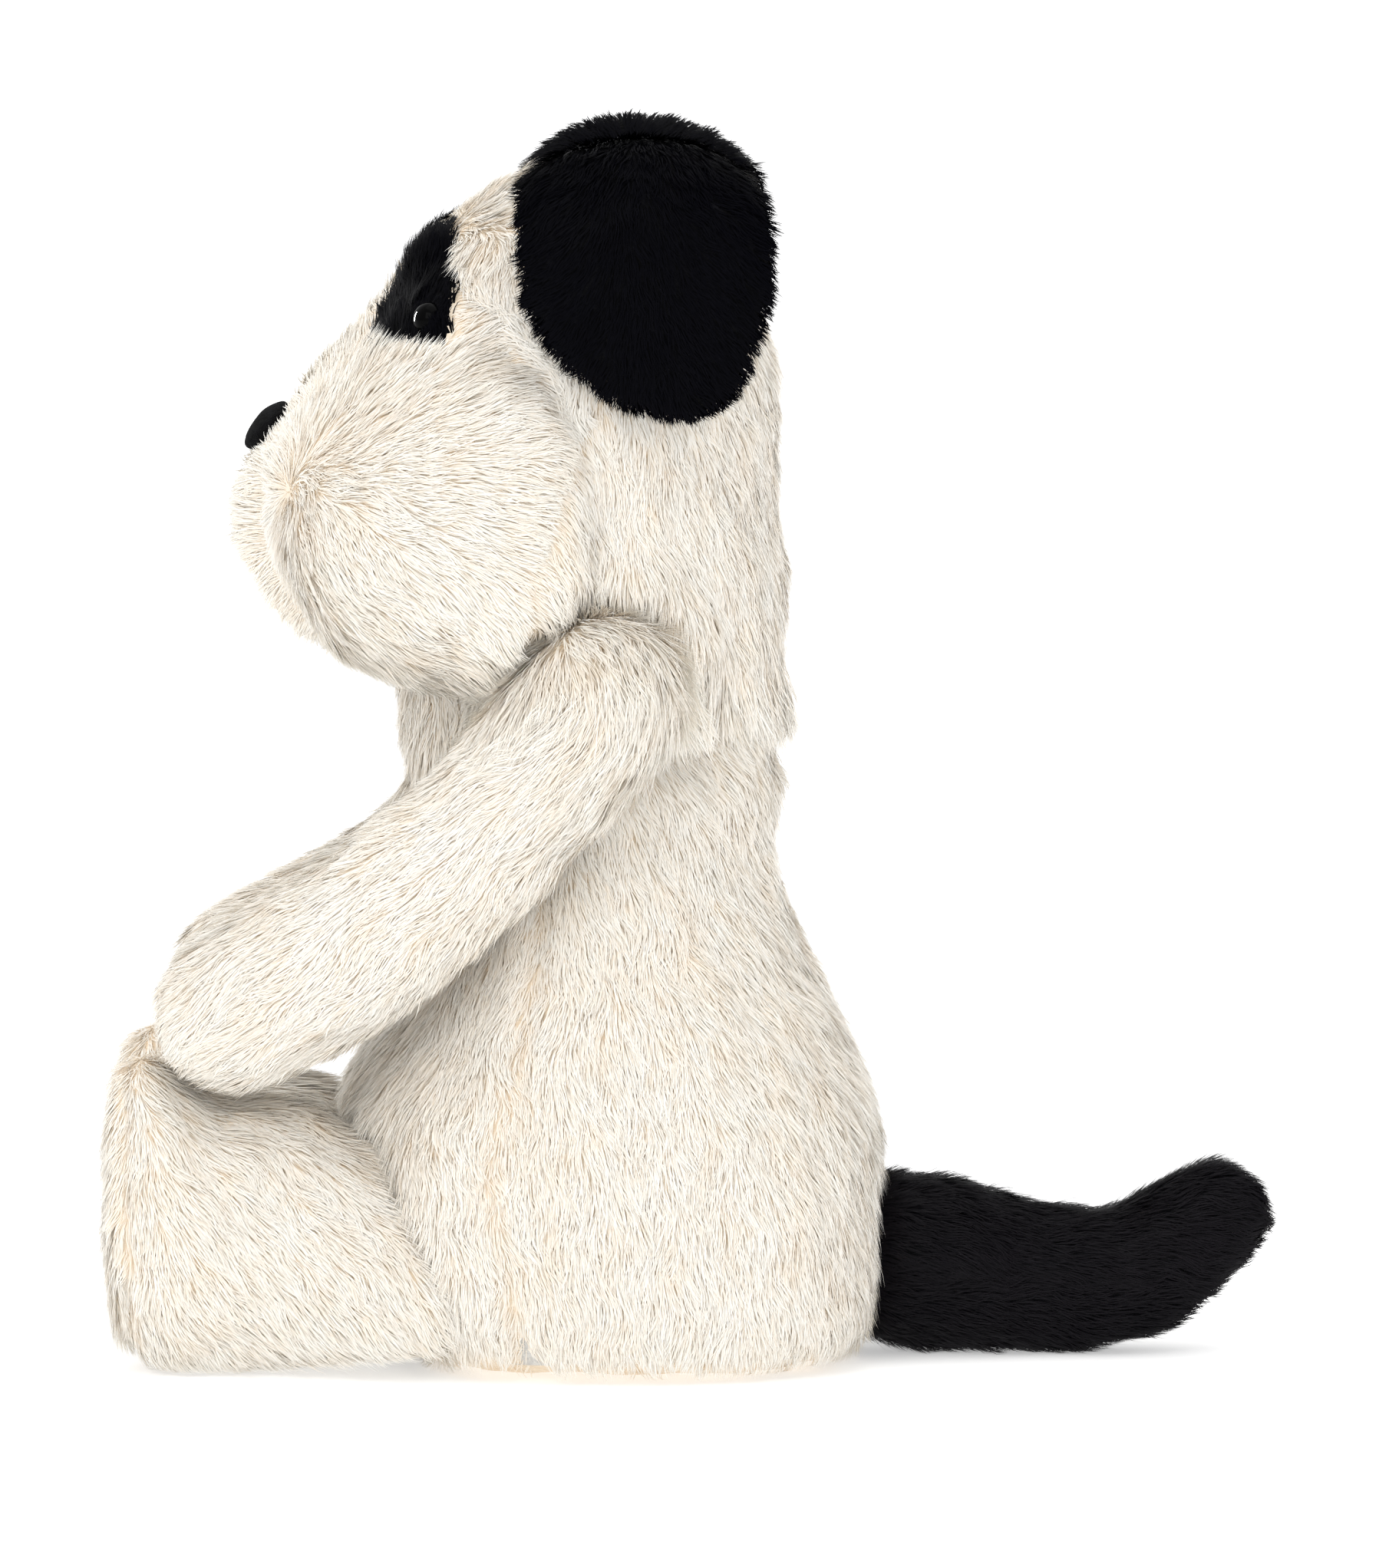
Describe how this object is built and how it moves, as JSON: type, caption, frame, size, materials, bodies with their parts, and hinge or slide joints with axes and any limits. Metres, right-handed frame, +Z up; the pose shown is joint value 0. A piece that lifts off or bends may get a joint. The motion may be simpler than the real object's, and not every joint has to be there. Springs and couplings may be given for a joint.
{
  "type": "plush toy",
  "caption": "Seated long-pile stuffed toy animal, cream with floppy black ears, black eye patches and a long black tail.",
  "frame": {"origin": "centre of the bounding box on the surface the toy sits on", "axes": "+Z up; the toy faces -Y; +X is the toy's left side"},
  "size_m": [0.1522, 0.2771, 0.2916],
  "materials": {
    "cream_plush": "matte",
    "black_plush": "matte",
    "nose_felt": "matte",
    "eye_plastic": "gloss",
    "washer_plastic": "matte",
    "filling": "matte",
    "pouch_cloth": "matte"
  },
  "bodies": {
    "torso": {"torso_front_panel": "cream_plush", "torso_back_left_panel": "cream_plush", "torso_back_right_panel": "cream_plush", "base_panel": "cream_plush", "seat_pellet_pouch": "pouch_cloth", "torso_stuffing": "filling"},
    "head": {"face_gusset": "cream_plush", "cheek_left_panel": "cream_plush", "cheek_right_panel": "cream_plush", "head_back_left_panel": "cream_plush", "head_back_right_panel": "cream_plush", "head_stuffing": "filling", "eye_patch_left": "black_plush", "eye_patch_right": "black_plush", "eye_left": "eye_plastic", "eye_right": "eye_plastic", "eye_washer_left": "washer_plastic", "eye_washer_right": "washer_plastic", "nose_patch": "nose_felt"},
    "ear_left": {"ear_left_outer": "black_plush", "ear_left_lining": "black_plush"},
    "ear_right": {"ear_right_outer": "black_plush", "ear_right_lining": "black_plush"},
    "arm_left": {"arm_left_outer": "cream_plush", "arm_left_inner": "cream_plush", "arm_left_stuffing": "filling"},
    "arm_right": {"arm_right_outer": "cream_plush", "arm_right_inner": "cream_plush", "arm_right_stuffing": "filling"},
    "leg_left": {"leg_left_upper": "cream_plush", "leg_left_under": "cream_plush", "sole_left": "cream_plush", "leg_left_stuffing": "filling"},
    "leg_right": {"leg_right_upper": "cream_plush", "leg_right_under": "cream_plush", "sole_right": "cream_plush", "leg_right_stuffing": "filling"},
    "tail": {"tail_left_panel": "black_plush", "tail_right_panel": "black_plush", "tail_stuffing": "filling"}
  },
  "joints": [
    {"name": "head_nod", "type": "hinge", "parent": "torso", "child": "head", "pos_m": [0, -0.02, 0.163], "axis": [1, 0, 0], "range_deg": [-12, 5], "stiffness_Nm_per_rad": 0.35},
    {"name": "ear_left_lift", "type": "hinge", "parent": "head", "child": "ear_left", "pos_m": [0.0455, -0.016, 0.272], "axis": [0, -1, 0], "range_deg": [0, 65]},
    {"name": "ear_right_lift", "type": "hinge", "parent": "head", "child": "ear_right", "pos_m": [-0.0455, -0.016, 0.272], "axis": [0, 1, 0], "range_deg": [0, 65]},
    {"name": "arm_left_spread", "type": "hinge", "parent": "torso", "child": "arm_left", "pos_m": [0.057, -0.02, 0.163], "axis": [0, -0.6909, 0.7229], "range_deg": [0, 50], "stiffness_Nm_per_rad": 0.05},
    {"name": "arm_right_spread", "type": "hinge", "parent": "torso", "child": "arm_right", "pos_m": [-0.057, -0.02, 0.163], "axis": [0, 0.6909, -0.7229], "range_deg": [0, 50], "stiffness_Nm_per_rad": 0.05},
    {"name": "leg_left_spread", "type": "hinge", "parent": "torso", "child": "leg_left", "pos_m": [0.034, -0.079, 0.03], "axis": [0, 0, 1], "range_deg": [0, 20], "stiffness_Nm_per_rad": 0.08},
    {"name": "leg_right_spread", "type": "hinge", "parent": "torso", "child": "leg_right", "pos_m": [-0.034, -0.079, 0.03], "axis": [0, 0, -1], "range_deg": [0, 20], "stiffness_Nm_per_rad": 0.08},
    {"name": "tail_wag", "type": "hinge", "parent": "torso", "child": "tail", "pos_m": [0, 0.05, 0.0225], "axis": [0, 0, 1], "range_deg": [-20, 20], "stiffness_Nm_per_rad": 0.03}
  ]
}
